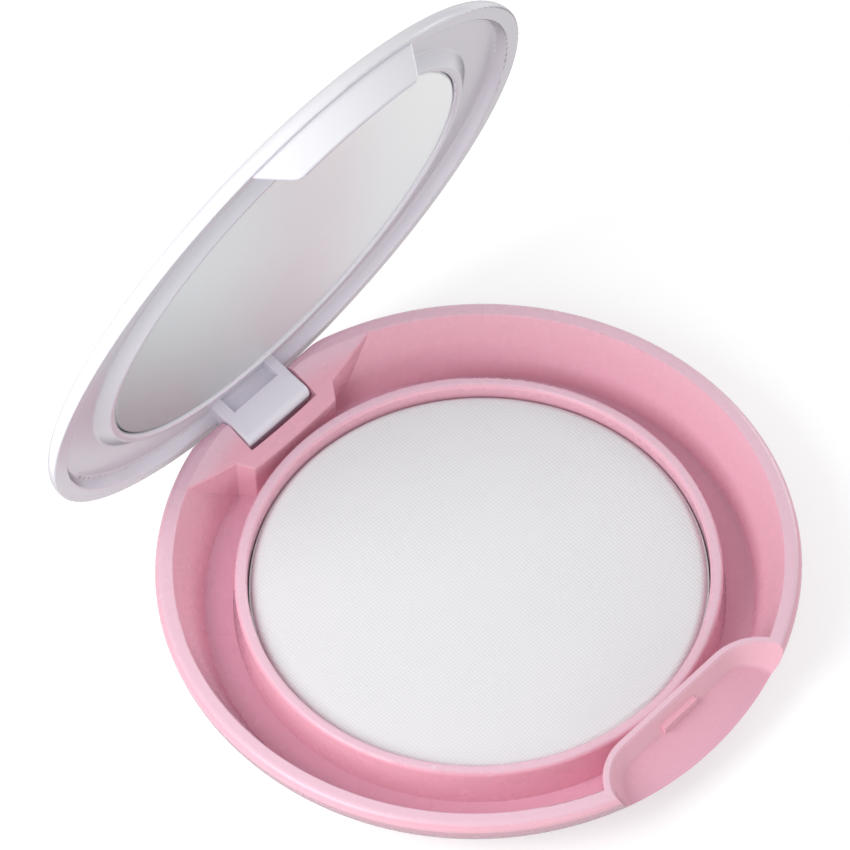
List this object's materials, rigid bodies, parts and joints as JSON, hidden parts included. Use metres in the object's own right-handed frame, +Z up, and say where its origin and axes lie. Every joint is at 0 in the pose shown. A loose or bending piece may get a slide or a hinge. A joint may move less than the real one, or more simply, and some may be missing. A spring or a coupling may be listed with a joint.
{
  "type": "pressed-powder compact",
  "caption": "Round flip-top powder compact: pink dish with a framed pan of pressed powder, a thumb scoop in its rim and a white hinged lid with an inset mirror.",
  "frame": {"origin": "centre of the flat underside of the base", "axes": "+Z up out of the base, +Y from the thumb scoop towards the hinge, X along the hinge pin"},
  "size_m": [0.083, 0.0831, 0.0867],
  "materials": {
    "base_plastic": "moulded pink plastic with a soft gloss",
    "lid_plastic": "moulded white plastic with a faint lilac cast, glossy",
    "powder": "pressed cosmetic powder, matt, with a fine diagonal twill emboss",
    "pan_metal": "pressed sheet, satin",
    "pin_steel": "drawn wire, bright",
    "mirror": "silvered glass, polished",
    "adhesive": "soft translucent adhesive"
  },
  "bodies": {
    "base": {"base_shell": "base_plastic", "pan_ring": "base_plastic", "pan_glue": "adhesive", "powder_pan": "pan_metal", "powder_cake": "powder", "hinge_pin": "pin_steel"},
    "lid": {"lid_shell": "lid_plastic", "mirror_tape": "adhesive", "mirror": "mirror"}
  },
  "joints": [
    {"name": "lid_hinge", "type": "hinge", "parent": "base", "child": "lid", "pos_m": [0, 0.0385, 0.0084], "axis": [-1, 0, 0], "range_deg": [-75.7, 24.3]}
  ]
}
